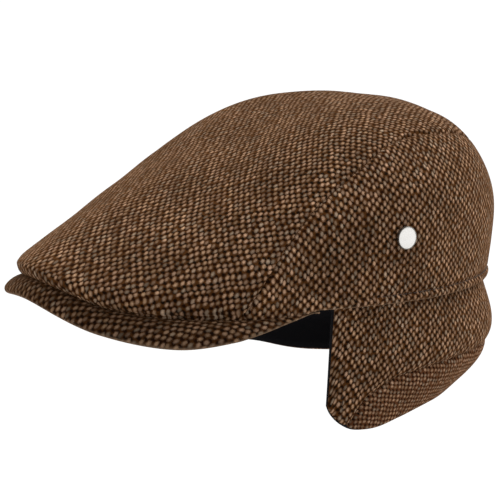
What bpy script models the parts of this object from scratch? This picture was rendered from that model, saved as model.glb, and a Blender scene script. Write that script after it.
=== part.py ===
"""Flat cap in tweed, with a flap turned down round the ears and the nape.

Metres, +Z up. The peak points to -Y and the wearer's left is +X. The origin is the middle of the head
opening, on the line of the crown's hem. Places round the head are angles in degrees from the front,
positive towards the wearer's left. Every sheet of cloth is a grid laid on a surface that the functions
below work out, with its thickness given inwards by Solidify.
"""

import bmesh
import bpy
import numpy as np
from mathutils import Matrix, Vector

# Head opening: the inside of the cap at the rim.
HEAD_LENGTH = 0.198
HEAD_WIDTH = 0.164

# Cloth, the gap between neighbours, and the play of the crown's hem over the peak and round the flap.
CLOTH = 0.0020
LINING = 0.0012
GAP = 0.0004
HEM_PLAY = 0.0007

# Crown: its height over the hem, how far back its top lies, the most that it bulges past the hem, and the
# widest point's place on the way from the hem to the top. The front is raised to a blunt nose, by the most
# at NOSE_SHARE of the way. The last TOP_ROUND_SHARE of the way is rounded off.
CROWN_HEIGHT = 0.0938
CROWN_SETBACK = 0.0227
SETBACK_POWER = 2.5
CROWN_SWELL = 0.012
WIDEST_SHARE = 0.3
NOSE_RISE = 0.0030
NOSE_SHARE = 0.30
NOSE_SPREAD_SHARE = 0.09
TOP_ROUND_SHARE = 0.34
TOP_EASE_SHARE = 0.095

# Seam between the top panel and each side panel: the angle where it leaves the hem, its place on the way up
# there, the angle where the top panel's back end starts, and how much closer its points lie at the front.
SEAM_START = 46.0
SEAM_TIP_SHARE = 0.10
SEAM_TURN = 150.0
SEAM_CROWDING = 1.4

# Peak: how far it stands out past the crown's side hem, the angle of its ends, and how far its left edge
# droops and its right edge lifts, which fades over the last share of the way to each end. Its points lie
# closer together at the edge.
PEAK_REACH = 0.045
PEAK_THICKNESS = 0.0040
PEAK_END = 66.0
PEAK_TWIST = 0.0050
TWIST_FADE_SHARE = 0.3
PEAK_INSET = 0.0015
PEAK_CROWDING = 1.5

# Flap: its drop below the hem, the height tucked up inside the crown, the bulge over the nape and the
# inward curl of its lower edge.
FLAP_DROP = 0.060
FLAP_TUCK = 0.008
FLAP_BELLY = 0.006
BELLY_POWER = 1.2
FLAP_CURL = 0.012
CURL_POWER = 4

# Flap's front edge: its distance from the peak's end, and the width in degrees and the height, as a share
# of the drop, of its rounded lower corner.
PEAK_TO_FLAP = 0.0041
CORNER_ANGLE = 14.0
CORNER_SHARE = 0.26

# Right ear of the flap, which stands off the head: how far, how much of that it is lifted, its middle and
# its spread in degrees from the front.
EAR_SPLAY = 0.022
SPLAY_POWER = 1.2
EAR_LIFT_SHARE = 0.60
EAR_ANGLE = 80.0
EAR_SPREAD_ANGLE = 25.0

# Band along the flap's lower edge: the angle where it starts, and the dip at its seam, with the dip's
# half width as a share of the way down.
BAND_START = 75.0
BAND_DIP = 0.0012
DIP_WIDTH_SHARE = 0.07
DIP_FADE_SHARE = 0.2

# Badge, on the left side panel, with its post through the cloth and a clutch behind.
BADGE_ANGLE = 94.0
BADGE_SHARE = 0.283
BADGE_RADIUS = 0.0055
BADGE_THICKNESS = 0.0014
BADGE_RIM = 0.0007
POST_RADIUS = 0.0008
POST_HOLE_RADIUS = 0.0012
CLUTCH_RADIUS = 0.0035
CLUTCH_THICKNESS = 0.0020
CLUTCH_PLAY = 0.0005

# Seats: the flap's outer face lies over the lining, and the crown's hem over the flap.
FLAP_SEAT = LINING + GAP + CLOTH
HEM_SEAT = FLAP_SEAT + HEM_PLAY + CLOTH

# Crown sections by angle. reach is the hem's place on the peak, as a share of PEAK_REACH. swell is the
# bulge past the hem, of CROWN_SWELL. waist is the height of the widest point, of the height above the hem.
# lean is how flat the cloth leaves the hem, from 0 for upright to 1. shoulder and roof are how far the
# profile goes straight up and straight across before it turns, of the height and of the radius. nose is
# how much of NOSE_RISE is added.
CROWN_SECTIONS = (
    ("angle", "reach", "swell", "waist", "lean", "shoulder", "roof", "nose"),
    (0, 0.75, 0.59, 0.03, 1.0, 0.12, 0.06, 0.80),
    (20, 0.62, 0.58, 0.065, 1.0, 0.12, 0.19, 0.85),
    (35, 0.44, 0.46, 0.105, 1.0, 0.14, 0.38, 0.80),
    (48, 0.26, 0.35, 0.16, 0.8, 0.17, 0.58, 0.25),
    (66, 0.03, 0.16, 0.30, 0.3, 0.45, 0.75, 0.00),
    (90, 0.00, 0.02, 0.37, 0.1, 0.83, 0.48, 0.00),
    (125, 0.00, 0.02, 0.33, 0.1, 0.84, 0.49, 0.00),
    (155, 0.00, 0.19, 0.27, 0.1, 0.57, 0.59, 0.00),
    (180, 0.00, 0.24, 0.17, 0.1, 0.27, 0.97, 0.00),
)

# Seam between the top panel and a side panel. along goes from SEAM_START to the middle of the back, and
# share is the seam's place on the way from the hem to the top of the crown.
SEAM_SECTIONS = (
    ("along", "share"),
    (0.000, SEAM_TIP_SHARE),
    (0.022, 0.22),
    (0.075, 0.42),
    (0.150, 0.505),
    (0.270, 0.552),
    (0.440, 0.597),
    (0.625, 0.590),
    (0.810, 0.592),
    (1.000, 0.635),
)

# Peak sections. along goes from the middle to PEAK_END. out is how far the edge stands out, rise is the
# height of the edge and bow is how far the face arches up in front of the head, as shares of PEAK_REACH.
PEAK_SECTIONS = (
    ("along", "out", "rise", "bow"),
    (0.00, 1.00, 0.10, 0.22),
    (0.30, 0.95, -0.06, 0.14),
    (0.53, 0.82, -0.13, 0.10),
    (0.73, 0.47, -0.07, 0.05),
    (0.88, 0.16, -0.02, 0.01),
    (1.00, 0.00, 0.00, 0.00),
)

# Flap sections. along goes from the flap's front edge to the middle of the back. drop, belly and curl are
# shares of FLAP_DROP, FLAP_BELLY and FLAP_CURL, and band is where the lower band is sewn on, as a share of
# the way down from the tucked edge.
FLAP_SECTIONS = (
    ("along", "drop", "belly", "curl", "band"),
    (0.00, 0.98, 0.00, 0.00, 1.00),
    (0.05, 0.99, 0.00, 0.00, 0.97),
    (0.14, 1.00, 0.10, 0.10, 0.75),
    (0.25, 0.96, 0.25, 0.30, 0.67),
    (0.42, 0.90, 0.60, 0.60, 0.66),
    (0.69, 0.86, 1.00, 0.95, 0.66),
    (1.00, 0.85, 1.00, 1.00, 0.66),
)

# Grid cells of each sheet.
SEAM_CELLS = 25
TURN_CELLS = 10
SIDE_CELLS = 10
PEAK_CELLS = (32, 9)
FLAP_COLUMNS = 52
FLAP_ROWS = 6
BAND_ROWS = 3
BADGE_STEPS = 24

MATERIALS = {
    "crown_tweed": ((0.098, 0.058, 0.032), 0.92, 0.0),
    "peak_tweed": ((0.090, 0.052, 0.029), 0.92, 0.0),
    "flap_tweed": ((0.098, 0.058, 0.032), 0.92, 0.0),
    "lining_cloth": ((0.006, 0.006, 0.007), 0.75, 0.0),
    "badge_enamel": ((0.78, 0.77, 0.74), 0.30, 0.0),
}


def smooth(x, rows_x, rows_y):
    """Cubic curve through the rows that never passes beyond them.

    Each row's slope is the harmonic mean of the slopes on its two sides, or level at a turn and at an end.
    """
    steps = np.diff(rows_x)
    rises = np.diff(rows_y) / steps
    slopes = np.zeros(len(rows_x))
    both = rises[:-1] * rises[1:]
    slopes[1:-1] = np.where(both > 0, 2 * both / np.where(both > 0, rises[:-1] + rises[1:], 1), 0)
    row = np.clip(np.searchsorted(rows_x, x, side="right") - 1, 0, len(steps) - 1)
    t = np.clip((x - rows_x[row]) / steps[row], 0, 1)
    start = rows_y[row] * (2 * t**3 - 3 * t**2 + 1) + slopes[row] * steps[row] * (t**3 - 2 * t**2 + t)
    end = rows_y[row + 1] * (3 * t**2 - 2 * t**3) + slopes[row + 1] * steps[row] * (t**3 - t**2)
    return start + end


def read(table, name, place):
    """The named column of a table, read at each place along its first column."""
    rows = np.array(table[1:], dtype=float)
    return smooth(np.asarray(place, dtype=float), rows[:, 0], rows[:, table[0].index(name)])


def from_front(angle):
    """Angle from the front on either side, from 0 to 180 degrees."""
    return np.abs((angle + 180) % 360 - 180)


def head_radius(angle):
    """Distance from the middle of the head to its oval at this angle."""
    across = np.sin(np.radians(angle)) / (HEAD_WIDTH / 2)
    along = np.cos(np.radians(angle)) / (HEAD_LENGTH / 2)
    return 1 / np.hypot(across, along)


def place_at(angle, radius, height):
    """Points at these angles, distances from the middle and heights."""
    turn = np.radians(angle)
    return np.stack([radius * np.sin(turn), -radius * np.cos(turn), height], axis=-1)


def bezier(a, b, c, d, t):
    """Cubic Bezier curve from a to d, drawn towards b and c."""
    return (1 - t) ** 3 * a + 3 * (1 - t) ** 2 * t * b + 3 * (1 - t) * t**2 * c + t**3 * d


FLAP_START = PEAK_END + np.degrees(PEAK_TO_FLAP / head_radius(PEAK_END))


def peak_height(angle, past):
    """Height of the peak's upper face, by angle and distance past the hem's line at the sides.

    The face leaves the head level and bends to its edge with the square of the distance, over a bow that
    falls steeply to the edge. The twist lowers the left of the edge and lifts the right, and dies away
    towards the peak's ends.
    """
    along = from_front(angle) / PEAK_END
    out = np.maximum(read(PEAK_SECTIONS, "out", along) * PEAK_REACH, GAP)
    twist = -PEAK_TWIST * np.sin(2 * np.radians(angle)) * np.clip((1 - along) / TWIST_FADE_SHARE, 0, 1)
    edge = read(PEAK_SECTIONS, "rise", along) * PEAK_REACH + twist
    bow = read(PEAK_SECTIONS, "bow", along) * PEAK_REACH
    share = np.clip(past / out, 0, 1)
    arch = (share**2 - share**6) / 0.385  # 0.385 is the most that the difference of the two powers comes to
    return np.where(along < 1, edge * share**2 + bow * arch, 0)


def peak_face(angle, share):
    """Upper face of the peak, from its edge at share 0 to the head at share 1."""
    inner = head_radius(angle) + PEAK_INSET
    out = read(PEAK_SECTIONS, "out", from_front(angle) / PEAK_END) * PEAK_REACH
    outer = head_radius(angle) + HEM_SEAT + out
    radius = outer + share * (inner - outer)
    return place_at(angle, radius, peak_height(angle, radius - head_radius(angle) - HEM_SEAT))


def crown_profile(angle, share):
    """Points of the crown's profiles, by angle and share of the way from the hem to the top.

    Each profile is two Bezier curves, from the hem to the widest point and from there to the top. They are
    set back with height, so that the top lies behind the middle of the head. The nose is a smooth hump,
    exp(-x^2), about NOSE_SHARE.
    """
    angle, share = np.broadcast_arrays(angle, share)
    front = from_front(angle)
    past = read(CROWN_SECTIONS, "reach", front) * PEAK_REACH
    hem = head_radius(angle) + HEM_SEAT + past
    low = peak_height(angle, past) + HEM_PLAY
    wide = hem + read(CROWN_SECTIONS, "swell", front) * CROWN_SWELL
    mid = low + read(CROWN_SECTIONS, "waist", front) * (CROWN_HEIGHT - low)
    lean = read(CROWN_SECTIONS, "lean", front)
    shoulder = mid + read(CROWN_SECTIONS, "shoulder", front) * (CROWN_HEIGHT - mid)
    roof = read(CROWN_SECTIONS, "roof", front) * wide
    lower = np.clip(share / WIDEST_SHARE, 0, 1)
    upper = np.clip((share - WIDEST_SHARE) / (1 - WIDEST_SHARE), 0, 1)
    below = share < WIDEST_SHARE
    radius = np.where(
        below,
        bezier(hem, hem + 0.55 * lean * (wide - hem), wide, wide, lower),
        bezier(wide, wide, roof, 0 * wide, upper),
    )
    height = np.where(
        below,
        bezier(low, low + (0.4 - 0.3 * lean) * (mid - low), (low + mid) / 2, mid, lower),
        bezier(mid, shoulder, 0 * mid + CROWN_HEIGHT, 0 * mid + CROWN_HEIGHT, upper),
    )
    points = place_at(angle, radius, height)
    points[..., 1] += CROWN_SETBACK * np.clip(height / CROWN_HEIGHT, 0, 1) ** SETBACK_POWER
    hump = np.exp(-(((share - NOSE_SHARE) / NOSE_SPREAD_SHARE) ** 2))
    points[..., 2] += NOSE_RISE * read(CROWN_SECTIONS, "nose", front) * hump
    return points


def chart(angle, share):
    """Flat map of the crown: the top is the middle of a disc, the hem its rim, the front at +1."""
    turn = np.radians(angle)
    return np.stack([(1 - share) * np.cos(turn), (1 - share) * np.sin(turn)], axis=-1)


def crown_face(angle, share):
    """Outer face of the crown, by angle and share of the way from the hem to the top.

    The profiles meet at the top, where each point moves towards the mean of eight points round it on the
    chart, TOP_EASE_SHARE away. It moves all the way at the top and not at all TOP_ROUND_SHARE from it.
    """
    angle, share = np.broadcast_arrays(angle, share)
    points = crown_profile(angle, share)
    flat = chart(angle, share)
    t = np.clip(1 - (1 - share) / TOP_ROUND_SHARE, 0, 1)[..., None]
    for turn in range(0, 360, 45):
        near = flat + chart(turn, 1 - TOP_EASE_SHARE)
        beside = crown_profile(np.degrees(np.arctan2(near[..., 1], near[..., 0])), 1 - np.hypot(*near.T).T)
        points = points + (beside - crown_profile(angle, share)) * t**2 * (3 - 2 * t) / 8
    return points


def flap_along(angle):
    """How far an angle lies on the way from the flap's front edge, 0, to the middle of the back, 1."""
    return (from_front(angle) - FLAP_START) / (180 - FLAP_START)


def band_share(angle):
    """Where the band is sewn to the flap, as a share of the way down."""
    return read(FLAP_SECTIONS, "band", flap_along(angle))


def flap_face(angle, share):
    """Outer face of the flap and its band, by angle and share of the way down.

    The cloth hangs straight from inside the hem, bulges over the nape, dips at the band's seam and curls
    in at the bottom. The front corners are quarter rounds, and the right ear is drawn out from the head.
    """
    angle, share = np.broadcast_arrays(angle, share)
    front = from_front(angle)
    along = flap_along(angle)
    corner = np.clip((front - FLAP_START) / CORNER_ANGLE, 0, 1)
    rounding = 1 - CORNER_SHARE * (1 - np.sqrt(1 - (1 - corner) ** 2))
    drop = read(FLAP_SECTIONS, "drop", along) * rounding * FLAP_DROP
    height = FLAP_TUCK - share * (drop + FLAP_TUCK)
    hang = np.clip(-height / drop, 0, 1)
    belly = read(FLAP_SECTIONS, "belly", along) * FLAP_BELLY * np.sin(np.pi * hang) ** BELLY_POWER
    curl = read(FLAP_SECTIONS, "curl", along) * FLAP_CURL * hang**CURL_POWER
    band = band_share(angle)
    near_seam = np.exp(-(((share - band) / DIP_WIDTH_SHARE) ** 2))
    dip = BAND_DIP * near_seam * np.clip((1 - band) / DIP_FADE_SHARE, 0, 1)
    radius = head_radius(angle) + FLAP_SEAT + belly - curl - dip
    bump = np.exp(-(((front - EAR_ANGLE) / EAR_SPREAD_ANGLE) ** 2))
    splay = np.where((angle + 180) % 360 < 180, bump, 0) * EAR_SPLAY
    return place_at(angle, radius + splay * hang**SPLAY_POWER, height + EAR_LIFT_SHARE * splay * hang**2)


def seam_share(angle):
    """Place of the top panel's seam on the way from the hem to the top."""
    along = (from_front(angle) - SEAM_START) / (180 - SEAM_START)
    return read(SEAM_SECTIONS, "share", along)


def seam_angles():
    """Angles along the left seam, close together at the front, where the seam climbs fastest."""
    climb = SEAM_START + (SEAM_TURN - SEAM_START) * np.linspace(0, 1, SEAM_CELLS) ** SEAM_CROWDING
    return np.concatenate([climb, np.linspace(SEAM_TURN, 180, TURN_CELLS + 1)[1:]])


def top_panel_points():
    """Coons patch between the front hem, the two seams and the back seam, drawn on the chart."""
    sides = seam_angles()[:SEAM_CELLS]
    across = np.linspace(-1, 1, 2 * TURN_CELLS + 1)
    front = chart(SEAM_START * across, 0 * across)
    turn = 180 + (180 - SEAM_TURN) * -across
    back = chart(turn, seam_share(turn))
    left = np.concatenate([front[-1:], chart(sides, seam_share(sides))])
    right = left * [1, -1]
    a = ((across + 1) / 2)[:, None, None]
    b = np.linspace(0, 1, SEAM_CELLS + 1)[None, :, None]
    ends = (1 - b) * front[:, None] + b * back[:, None]
    edges = (1 - a) * right[None] + a * left[None]
    corner_mean = (1 - a) * ((1 - b) * right[0] + b * right[-1]) + a * ((1 - b) * left[0] + b * left[-1])
    flat = ends + edges - corner_mean
    angle = np.degrees(np.arctan2(flat[..., 1], flat[..., 0]))
    return crown_face(angle, 1 - np.hypot(flat[..., 0], flat[..., 1]))


def side_panel_points(side):
    """Side panel from the hem up to the seam: side is 1 for the left and -1 for the right."""
    angle = np.sort(side * seam_angles())[:, None]
    share = np.linspace(0, 1, SIDE_CELLS + 1)[None] * seam_share(angle)
    return crown_face(angle, share)


def draw_in(points, amount):
    """Moves a sheet's first row of points into the sheet, square to its edge."""
    edge = np.gradient(points[0], axis=0)
    edge /= np.linalg.norm(edge, axis=-1, keepdims=True)
    inward = points[1] - points[0]
    inward -= np.sum(inward * edge, axis=-1, keepdims=True) * edge
    points[0] += amount * inward / np.linalg.norm(inward, axis=-1, keepdims=True)


def flap_angles():
    """Angles round the back from the left front edge to the right one, closer together at the ends."""
    u = np.linspace(0, 1, FLAP_COLUMNS + 1)
    return FLAP_START + (360 - 2 * FLAP_START) * (u - 0.5 * np.sin(2 * np.pi * u) / (2 * np.pi))


def flap_points(angle, start, end, rows):
    """Rows of the flap from start to end, both shares of the way down, with the lowest row first."""
    share = end + (start - end) * np.linspace(0, 1, rows + 1)[None]
    return flap_face(angle, share)


def material(name):
    """Plain cloth, lining or enamel from the list of materials."""
    colour, roughness, metallic = MATERIALS[name]
    made = bpy.data.materials.new(name)
    made.use_nodes = True
    shader = made.node_tree.nodes["Principled BSDF"]
    shader.inputs["Base Color"].default_value = (*colour, 1.0)
    shader.inputs["Roughness"].default_value = roughness
    shader.inputs["Metallic"].default_value = metallic
    made.diffuse_color = (*colour, 1.0)
    return made


def add_object(name, mesh, collection, material_name=None):
    """Puts a mesh into the collection as a named object."""
    made = bpy.data.objects.new(name, mesh)
    collection.objects.link(made)
    if material_name:
        mesh.materials.append(material(material_name))
    return made


def add_sheet(name, points, thickness, material_name, collection, depth=0.0):
    """A grid primitive laid on points[column, row], made solid inwards from the given depth."""
    columns, rows = points.shape[0] - 1, points.shape[1] - 1
    cells = bmesh.new()
    bmesh.ops.create_grid(cells, x_segments=columns, y_segments=rows, size=0.5)
    for vertex in cells.verts:
        column = round((vertex.co.x + 0.5) * columns)
        row = round((vertex.co.y + 0.5) * rows)
        vertex.co = points[column, row]
    mesh = bpy.data.meshes.new(name)
    cells.to_mesh(mesh)
    cells.free()
    mesh.shade_smooth()
    made = add_object(name, mesh, collection, material_name)
    solid = made.modifiers.new("cloth", "SOLIDIFY")
    solid.thickness = thickness
    solid.offset = -1 - 2 * depth / thickness
    return made


def build_crown(collection):
    """Top panel and two side panels, with a gap at each seam."""
    top = top_panel_points()
    draw_in(top, GAP / 2)
    draw_in(top[::-1], GAP / 2)
    draw_in(np.swapaxes(top, 0, 1)[::-1], GAP / 2)
    add_sheet("crown_top", top, CLOTH, "crown_tweed", collection)
    for name, side in (("side_panel_left", 1), ("side_panel_right", -1)):
        panel = side_panel_points(side)
        draw_in(np.swapaxes(panel, 0, 1)[::-1], GAP / 2)
        draw_in(panel, GAP / 2)
        draw_in(panel[::-1], GAP / 2)
        add_sheet(name, panel, CLOTH, "crown_tweed", collection)


def build_peak(collection):
    """Stiff peak, arched across, between the head and its outer edge."""
    columns, rows = PEAK_CELLS
    angle = PEAK_END * np.linspace(-1, 1, columns + 1)[:, None]
    points = peak_face(angle, np.linspace(0, 1, rows + 1)[None] ** PEAK_CROWDING)
    add_sheet("peak", points, PEAK_THICKNESS, "peak_tweed", collection)


def build_flap(collection):
    """Flap, the band along its lower edge, and the lining on the inside of both."""
    angle = flap_angles()[:, None]
    seam = band_share(angle)
    upper = flap_points(angle, 0, seam, FLAP_ROWS)
    lining_band = flap_points(angle, seam, 1, BAND_ROWS)
    behind = from_front(angle[:, 0]) > BAND_START
    band = lining_band[behind].copy()
    lining = np.concatenate([lining_band, upper[:, 1:]], axis=1)
    draw_in(np.swapaxes(upper, 0, 1), GAP / 2)
    draw_in(np.swapaxes(band, 0, 1)[::-1], GAP / 2)
    add_sheet("ear_flap", upper, CLOTH, "flap_tweed", collection)
    add_sheet("flap_band", band, CLOTH, "flap_tweed", collection)
    add_sheet("flap_lining", lining, LINING, "lining_cloth", collection, depth=CLOTH + GAP)


def badge_frame():
    """Place and turn of the badge: its own +Z stands square to the left side panel."""
    step = 0.01
    here = crown_face(BADGE_ANGLE, BADGE_SHARE)
    along = crown_face(BADGE_ANGLE + step, BADGE_SHARE) - here
    up = crown_face(BADGE_ANGLE, BADGE_SHARE + step) - here
    outward = Vector(np.cross(along, up)).normalized()
    across = Vector(along).normalized()
    turn = Matrix((across, outward.cross(across), outward)).transposed()
    return Matrix.Translation(Vector(here)) @ turn.to_4x4()


def badge_profile():
    """Half outline of the badge: over the face and its rim, down the post and round the clutch."""
    back = GAP
    face = back + BADGE_THICKNESS
    clutch_top = -CLOTH - GAP - CLUTCH_PLAY
    clutch_end = clutch_top - CLUTCH_THICKNESS
    return (
        (0, face),
        (BADGE_RADIUS - BADGE_RIM, face),
        (BADGE_RADIUS - BADGE_RIM / 2, face + BADGE_RIM / 2),
        (BADGE_RADIUS, face),
        (BADGE_RADIUS, back + BADGE_RIM / 2),
        (BADGE_RADIUS - BADGE_RIM / 2, back),
        (POST_RADIUS, back),
        (POST_RADIUS, clutch_top),
        (CLUTCH_RADIUS, clutch_top),
        (CLUTCH_RADIUS, clutch_end),
        (0, clutch_end),
    )


def build_badge(collection, cutters):
    """Round badge turned from its profile, and the hole for its post in the side panel."""
    outline = bmesh.new()
    points = [outline.verts.new((radius, 0, height)) for radius, height in badge_profile()]
    for start, end in zip(points, points[1:]):
        outline.edges.new((start, end))
    mesh = bpy.data.meshes.new("badge")
    outline.to_mesh(mesh)
    outline.free()
    badge = add_object("badge", mesh, collection, "badge_enamel")
    badge.matrix_world = badge_frame()
    turned = badge.modifiers.new("turned", "SCREW")
    turned.steps = BADGE_STEPS
    turned.render_steps = BADGE_STEPS
    turned.use_merge_vertices = True
    turned.merge_threshold = 0.00001

    drill = bmesh.new()
    bmesh.ops.create_cone(
        drill,
        cap_ends=True,
        segments=16,
        radius1=POST_HOLE_RADIUS,
        radius2=POST_HOLE_RADIUS,
        depth=6 * CLOTH,
    )
    mesh = bpy.data.meshes.new("post_hole")
    drill.to_mesh(mesh)
    drill.free()
    cutter = add_object("post_hole", mesh, cutters)
    cutter.matrix_world = badge_frame()
    cutter.hide_render = True
    cutter.display_type = "WIRE"
    hole = bpy.data.objects["side_panel_left"].modifiers.new("post hole", "BOOLEAN")
    hole.object = cutter
    hole.operation = "DIFFERENCE"


def main():
    for old in list(bpy.data.objects):
        bpy.data.objects.remove(old)
    cap = bpy.data.collections.new("flat_cap")
    cutters = bpy.data.collections.new("cutters")
    for collection in (cap, cutters):
        bpy.context.scene.collection.children.link(collection)
    build_crown(cap)
    build_peak(cap)
    build_flap(cap)
    build_badge(cap, cutters)


main()
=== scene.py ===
"""Looks of the tweed flat cap: cloth, seams, hem, flap, lining and badge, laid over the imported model.

Metres, in the model's frame: +Z up, the peak points to -Y and the wearer's left is +X. Places round the
head are angles in degrees from the front, positive towards the wearer's left. Each sheet of cloth is a
grid of points, read from the same sections as the model. Beside its place each point keeps the place in
the flat cloth that it was cut from, and the weave follows that.
"""

from functools import partial

import bpy
import numpy as np
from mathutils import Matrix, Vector


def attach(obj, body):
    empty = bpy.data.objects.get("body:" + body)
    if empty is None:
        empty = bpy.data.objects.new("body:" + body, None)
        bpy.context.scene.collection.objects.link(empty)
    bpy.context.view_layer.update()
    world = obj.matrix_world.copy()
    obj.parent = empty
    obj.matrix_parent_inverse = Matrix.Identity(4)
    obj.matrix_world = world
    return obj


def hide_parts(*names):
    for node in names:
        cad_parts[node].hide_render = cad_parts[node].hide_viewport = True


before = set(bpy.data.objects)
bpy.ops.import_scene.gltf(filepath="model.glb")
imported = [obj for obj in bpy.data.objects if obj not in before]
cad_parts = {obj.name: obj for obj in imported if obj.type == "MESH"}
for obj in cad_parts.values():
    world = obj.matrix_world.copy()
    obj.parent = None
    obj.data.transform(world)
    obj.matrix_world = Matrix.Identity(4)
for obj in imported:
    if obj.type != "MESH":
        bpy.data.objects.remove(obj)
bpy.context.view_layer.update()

# Sizes of the model, repeated from its source.
HEAD_LENGTH = 0.198
HEAD_WIDTH = 0.164
CLOTH = 0.0020
LINING = 0.0012
GAP = 0.0004
HEM_PLAY = 0.0007
CROWN_HEIGHT = 0.0938
CROWN_SETBACK = 0.0227
SETBACK_POWER = 2.5
CROWN_SWELL = 0.012
WIDEST_SHARE = 0.3
NOSE_RISE = 0.0030
NOSE_SHARE = 0.30
NOSE_SPREAD_SHARE = 0.09
TOP_ROUND_SHARE = 0.34
TOP_EASE_SHARE = 0.095
SEAM_START = 46.0
SEAM_TIP_SHARE = 0.10
SEAM_TURN = 150.0
SEAM_CROWDING = 1.4
PEAK_REACH = 0.045
PEAK_THICKNESS = 0.0040
PEAK_END = 66.0
PEAK_TWIST = 0.0050
TWIST_FADE_SHARE = 0.3
PEAK_INSET = 0.0015
PEAK_CROWDING = 1.5
FLAP_DROP = 0.060
FLAP_TUCK = 0.008
FLAP_BELLY = 0.006
BELLY_POWER = 1.2
FLAP_CURL = 0.012
CURL_POWER = 4
PEAK_TO_FLAP = 0.0041
CORNER_ANGLE = 14.0
CORNER_SHARE = 0.26
EAR_SPLAY = 0.022
SPLAY_POWER = 1.2
EAR_LIFT_SHARE = 0.60
EAR_ANGLE = 80.0
EAR_SPREAD_ANGLE = 25.0
BAND_DIP = 0.0012
DIP_WIDTH_SHARE = 0.07
DIP_FADE_SHARE = 0.2
BADGE_ANGLE = 94.0
BADGE_SHARE = 0.283
BADGE_RADIUS = 0.0055
BADGE_THICKNESS = 0.0014
BADGE_RIM = 0.0004
POST_RADIUS = 0.0008
CLUTCH_RADIUS = 0.0035
CLUTCH_THICKNESS = 0.0020
CLUTCH_PLAY = 0.0005
FLAP_SEAT = LINING + GAP + CLOTH
HEM_SEAT = FLAP_SEAT + HEM_PLAY + CLOTH

CROWN_SECTIONS = (
    ("angle", "reach", "swell", "waist", "lean", "shoulder", "roof", "nose"),
    (0, 0.75, 0.59, 0.03, 1.0, 0.12, 0.06, 0.80),
    (20, 0.62, 0.58, 0.065, 1.0, 0.12, 0.19, 0.85),
    (35, 0.44, 0.46, 0.105, 1.0, 0.14, 0.38, 0.80),
    (48, 0.26, 0.35, 0.16, 0.8, 0.17, 0.58, 0.25),
    (66, 0.03, 0.16, 0.30, 0.3, 0.45, 0.75, 0.00),
    (90, 0.00, 0.02, 0.37, 0.1, 0.83, 0.48, 0.00),
    (125, 0.00, 0.02, 0.33, 0.1, 0.84, 0.49, 0.00),
    (155, 0.00, 0.19, 0.27, 0.1, 0.57, 0.59, 0.00),
    (180, 0.00, 0.24, 0.17, 0.1, 0.27, 0.97, 0.00),
)
SEAM_SECTIONS = (
    ("along", "share"),
    (0.000, SEAM_TIP_SHARE),
    (0.022, 0.22),
    (0.075, 0.42),
    (0.150, 0.505),
    (0.270, 0.552),
    (0.440, 0.597),
    (0.625, 0.590),
    (0.810, 0.592),
    (1.000, 0.635),
)
PEAK_SECTIONS = (
    ("along", "out", "rise", "bow"),
    (0.00, 1.00, 0.10, 0.22),
    (0.30, 0.95, -0.06, 0.14),
    (0.53, 0.82, -0.13, 0.10),
    (0.73, 0.47, -0.07, 0.05),
    (0.88, 0.16, -0.02, 0.01),
    (1.00, 0.00, 0.00, 0.00),
)
FLAP_SECTIONS = (
    ("along", "drop", "belly", "curl", "band"),
    (0.00, 0.98, 0.00, 0.00, 1.00),
    (0.05, 0.99, 0.00, 0.00, 0.97),
    (0.14, 1.00, 0.10, 0.10, 0.75),
    (0.25, 0.96, 0.25, 0.30, 0.67),
    (0.42, 0.90, 0.60, 0.60, 0.66),
    (0.69, 0.86, 1.00, 0.95, 0.66),
    (1.00, 0.85, 1.00, 1.00, 0.66),
)

# Pulls of the crown's lower curve: outward where it leans, and upward, less where it leans. Then the most
# that the peak's bow, s^2 - s^6, comes to before it is scaled.
LEAN_OUT = 0.55
STAND_UP = 0.4
LEAN_DOWN = 0.3
BOW_MOST = 0.385

# Grid cells of the flat cuts, which are those of the model, and how many times finer the cloth is. Then
# the passes that flatten a sheet, and the rows of cells across the flap, its band and its lining.
CLIMB_CELLS = 24
TURN_CELLS = 10
SIDE_ROWS = 10
PEAK_CELLS = (32, 9)
FLAP_COLUMNS = 52
FLAP_ROWS = 8
FINER = 7
FINER_PEAK = 5
FINER_FLAP = 6
FLAT_PASSES = 600
UPPER_ROWS = 42
BAND_ROWS = 24
LINING_ROWS = 40

# Points of the flat cuts that the weave is laid between: rows of the top panel's middle, columns of a
# side panel's hem, and columns to both sides of the flap's middle.
TOP_LAID = (4, -1)
SIDE_LAID = (2, -3)
FLAP_LAID = 8

# Weave: the distance from one tan float to the next, and how many times coarser it is at the front and at
# the back of the panels and the peak, and on the flap and its band. Then the weave's turn on each piece's
# cut, in degrees, how far the cloth wavers from straight rows, and its relief.
WEAVE_PITCH = 0.0026
COARSER_TOP = (1.22, 0.87)
COARSER_SIDE = (1.18, 0.94)
COARSER_PEAK = (1.25, 1.25)
COARSER_FLAP = 1.05
COARSER_BAND = 0.85
TOP_TURN = 135.0
SIDE_TURN = 45.0
PEAK_TURN = 135.0
FLAP_TURN = 45.0
BAND_TURN = 90.0
WEAVE_WAVER = 0.35
WEAVE_RELIEF = 0.0005

# Floats of yarn, in weave pitches: how far one strays from its place, where its soft edge starts and ends,
# how much longer than wide a dark one is, and how far single hairs move the edge.
FLOAT_STRAYS = 0.36
TAN_EDGE = (0.82, 1.58)
DARK_EDGE = (0.85, 1.75)
DARK_LENGTH = 1.15
HAIR_REACH = 0.9

# How often hairs, patches of shade and wavering rows change in a weave pitch, and a yarn along and across
# itself. Then the range of random values that counts for a float, a yarn, a patch and a hair, with the
# brightness at its ends, and the range over which a dark yarn changes colour.
HAIR_CHANGES = 5.0
PATCH_CHANGES = 0.11
WAVER_CHANGES = 0.35
YARN_CHANGES = (0.09, 0.9)
FLOAT_SHADES = (0.0, 1.0, 0.58, 1.32)
YARN_SHADES = (0.3, 0.7, 0.78, 1.22)
PATCH_SHADES = (0.3, 0.7, 0.85, 1.15)
HAIR_SHADES = (0.25, 0.75, 0.75, 1.25)
DARK_RANGE = (0.35, 0.65)

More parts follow.
